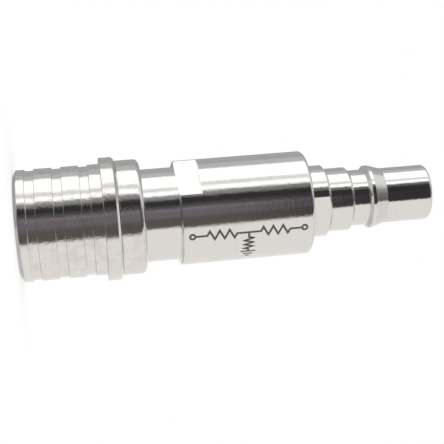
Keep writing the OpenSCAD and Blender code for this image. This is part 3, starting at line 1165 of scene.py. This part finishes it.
@dataclass
class Studio:
    """Surroundings: soft cards in the world's light, a pale floor and the camera.

    The floor's sizes are in metres, the camera's in millimetres.
    """

    cards: tuple[Card, ...] = (
        Card(-180, -107, (0.89, 0.87, 0.855), grey(0.58), grey(0.8)),
        Card(-101, -84, (0.9, 0.873, 0.85), grey(0.64), grey(0.8), bench=grey(0.14)),
        Card(-79, -37.5, (0.9, 0.873, 0.85), grey(0.64), grey(0.8)),
        Card(-33.5, -15, (0.12, 0.1, 0.095), grey(0.13), grey(0.15), (0.04, 0.037, 0.04)),
        Card(-10, 3, (0.17, 0.15, 0.168), grey(0.11), grey(0.18), (0.036, 0.034, 0.038)),
        Card(4, 6, (0.24, 0.22, 0.235), grey(0.11), grey(0.2), (0.042, 0.04, 0.044)),
        Card(7, 8, (0.165, 0.148, 0.163), grey(0.11), grey(0.21), (0.036, 0.034, 0.038)),
        Card(11, 15, (0.085, 0.08, 0.085), grey(0.12), grey(0.24), (0.033, 0.032, 0.034)),
        Card(18, 29.5, (0.035, 0.033, 0.035), grey(0.15), grey(0.32)),
        Card(33, 41, grey(0.29), grey(0.35), grey(0.55), grey(0.14)),
        Card(44.5, 53, (1.4, 1.4, 1.38), grey(0.7), grey(0.76)),
        Card(55, 63, (0.83, 0.83, 0.82), grey(0.6), grey(0.84)),
        Card(65.5, 101, (1.4, 1.4, 1.38), grey(0.74), grey(0.86)),
        Card(103, 119, grey(0.57), grey(0.55), grey(0.52), bench=grey(0.14)),
        Card(124, 154, grey(0.44), grey(0.45), grey(0.43)),
        Card(162, 180, grey(0.34), grey(0.4), grey(0.3)),
    )
    tier_rise: tuple[tuple[Tier, Span], ...] = (
        (Tier.BENCH, (-0.56, -0.46)), (Tier.LOW, (-0.3, -0.12)), (Tier.HIGH, (0.14, 0.3)),
        (Tier.TOP, (0.42, 0.6)))
    overhead: Colour = grey(0.85)
    overhead_rise: Span = (0.955, 0.985)
    underneath: Colour = grey(0.2)
    underneath_rise: Span = (-0.88, -0.96)
    table_rise: Span = (-0.05, 0.33)
    table_spread: Span = (0.82, 1.15)
    lift_rise: Span = (-0.05, 0.25)
    lift_deg: Span = (4.4, 1.0)
    plain: Colour = grey(0.9)
    backdrop: Colour = grey(1.0)
    floor_colour: Colour = grey(0.5)
    floor_grain: Colour = grey(0.49)
    floor_grains_per_metre: float = 40.0
    floor_glow: float = 0.6
    floor_half: float = 3.0
    floor_level: float = -0.00001
    distance: float = 110.357
    height: float = 6.399
    aim_height: float = 22.306
    aim_side: float = -1.43
    roll_deg: float = 5.05
    lens: float = 81.25
    sensor: float = 36.0

    def _card_ramp(self, wires: Wiring, turn: Socket, tier: Tier) -> Socket:
        """Colour the cards by their turn from the camera's direction.

        Args:
            wires: Wiring of the world.
            turn: Output with the turn in radians, from minus to plus half a circle.
            tier: Tier whose colours are meant.

        Returns:
            The cards' colour.
        """
        ramp = wires.node("ShaderNodeValToRGB")
        first, *between, last = [stop for card in self.cards for stop in card.stops(tier)]
        stops = ramp.color_ramp.elements
        stops[0].color = (*first[1], 1.0)
        stops[1].color = (*last[1], 1.0)
        for angle, colour in between:
            stops.new((angle + 180.0) / 360.0).color = (*colour, 1.0)
        wires.link((wires.remap(turn, (-math.pi, math.pi)), ramp.inputs["Fac"]))
        return ramp.outputs["Color"]

    def _lean(self, wires: Wiring, turn: Socket, rise: Socket) -> Socket:
        """Let the cards lean as they rise, and the table's side spread.

        Args:
            wires: Wiring of the world.
            turn: Turn from the camera's direction in radians.
            rise: Rise of the direction above the horizon.

        Returns:
            The turn at which the cards' colour is read.
        """
        start, end = (math.radians(angle) for angle in self.lift_deg)
        lift = wires.remap(rise, self.lift_rise, (start, end))
        turn = wires.combine("SUBTRACT", turn, lift)
        spread = wires.remap(rise, self.table_rise, self.table_spread)
        table = wires.combine("MULTIPLY", wires.combine("MINIMUM", turn, 0.0), spread)
        return wires.combine("ADD", table, wires.combine("MAXIMUM", turn, 0.0))

    def light(self) -> None:
        """Surround the object with soft cards, and show white behind it."""
        world = bpy.data.worlds.new("studio_cards")
        bpy.context.scene.world = world
        world.use_nodes = True
        wires = Wiring(world.node_tree)
        place = wires.node("ShaderNodeTexCoord")
        spin = wires.node("ShaderNodeVectorRotate", Angle=-math.radians(VIEW_AZIMUTH))
        spin.rotation_type = "Z_AXIS"
        split = wires.node("ShaderNodeSeparateXYZ")
        path = wires.node("ShaderNodeLightPath")
        wires.link((place.outputs["Generated"], spin.inputs["Vector"]),
                   (spin.outputs["Vector"], split.inputs["Vector"]))
        rise = split.outputs["Z"]
        over = wires.combine("MULTIPLY", split.outputs["Y"], -1.0)
        turn = self._lean(wires, wires.combine("ARCTAN2", over, split.outputs["X"]), rise)
        colour = self._card_ramp(wires, turn, Tier.BOTTOM)
        layers = [(reach, self._card_ramp(wires, turn, tier)) for tier, reach in self.tier_rise]
        layers += [(self.overhead_rise, self.overhead), (self.underneath_rise, self.underneath)]
        for reach, layer in layers:
            colour = wires.mix(wires.remap(rise, reach, smooth=True), colour, layer)
        colour = wires.mix(path.outputs["Is Diffuse Ray"], colour, self.plain)
        colour = wires.mix(path.outputs["Is Camera Ray"], colour, self.backdrop)
        wires.link((colour, wires.tree.nodes["Background"].inputs["Color"]))
        log.info("lit the studio")

    def floor(self) -> None:
        """Lay a pale floor that keeps the object's shadow."""
        half, level = self.floor_half, self.floor_level
        corners = [Vector((x, y, level)) for x, y in (
            (-half, -half), (half, -half), (half, half), (-half, half))]
        floor = add_object("studio_floor", corners, [(0, 1, 2, 3)])
        material = bpy.data.materials.new("pale_floor")
        material.use_nodes = True
        wires = Wiring(material.node_tree)
        wires.tree.nodes.remove(wires.tree.nodes["Principled BSDF"])
        path = wires.node("ShaderNodeLightPath")
        sides = wires.node("ShaderNodeNewGeometry")
        noise = wires.node("ShaderNodeTexNoise", Scale=self.floor_grains_per_metre)
        matte = wires.node("ShaderNodeBsdfDiffuse")
        glow = wires.node("ShaderNodeEmission", Strength=self.floor_glow)
        clear = wires.node("ShaderNodeBsdfTransparent")
        lit = wires.node("ShaderNodeAddShader")
        colour = wires.mix(noise.outputs["Fac"], self.floor_colour, self.floor_grain)
        wires.link((colour, matte.inputs["Color"]),
                   (matte.outputs[0], lit.inputs[0]),
                   (glow.outputs[0], lit.inputs[1]))
        shown = matte
        for factor, other in ((path.outputs["Is Camera Ray"], lit),
                              (path.outputs["Is Glossy Ray"], clear),
                              (sides.outputs["Backfacing"], clear)):
            choice = wires.node("ShaderNodeMixShader")
            wires.link((factor, choice.inputs[0]), (shown.outputs[0], choice.inputs[1]),
                       (other.outputs[0], choice.inputs[2]))
            shown = choice
        wires.link((shown.outputs[0], wires.tree.nodes["Material Output"].inputs["Surface"]))
        floor.data.materials.append(material)
        log.info("laid the floor")

    def camera(self) -> None:
        """Place the camera at the photograph's viewing angle, with the axis across the frame."""
        front = turned_place(1.0, math.radians(VIEW_AZIMUTH), 0.0)
        up_axis = Vector((0.0, 0.0, 1.0))
        side = front.cross(up_axis)
        spot = front * self.distance + up_axis * self.height
        aim = side * self.aim_side + up_axis * self.aim_height
        back = (spot - aim).normalized()
        level = (up_axis - back * up_axis.dot(back)).normalized()
        over = back.cross(level)
        roll = math.radians(self.roll_deg)
        right = level * math.cos(roll) - over * math.sin(roll)
        up = back.cross(right)
        lens = bpy.data.cameras.new("photo_camera")
        lens.lens = self.lens
        lens.sensor_width = self.sensor
        lens.clip_start = MM
        camera = bpy.data.objects.new("photo_camera", lens)
        pose = Matrix((right, up, back)).transposed().to_4x4()
        pose.translation = spot * MM
        camera.matrix_world = pose
        bpy.context.scene.collection.objects.link(camera)
        bpy.context.scene.camera = camera
        log.info("placed the camera")

    def build(self) -> None:
        """Set up light, floor, camera and plain colour output."""
        self.light()
        self.floor()
        self.camera()
        bpy.context.scene.view_settings.view_transform = "Standard"


def main() -> None:
    """Build the attenuator's pieces and the studio, in order."""
    logging.basicConfig(level=logging.INFO)
    finishes = Finishes(EffectGroups())
    for assembly in (CouplingSleeve(), PlugEnd(), Housing(), PadMark(), JackEnd()):
        assembly.build(finishes)
    Studio().build()


if __name__ == "__main__":
    main()
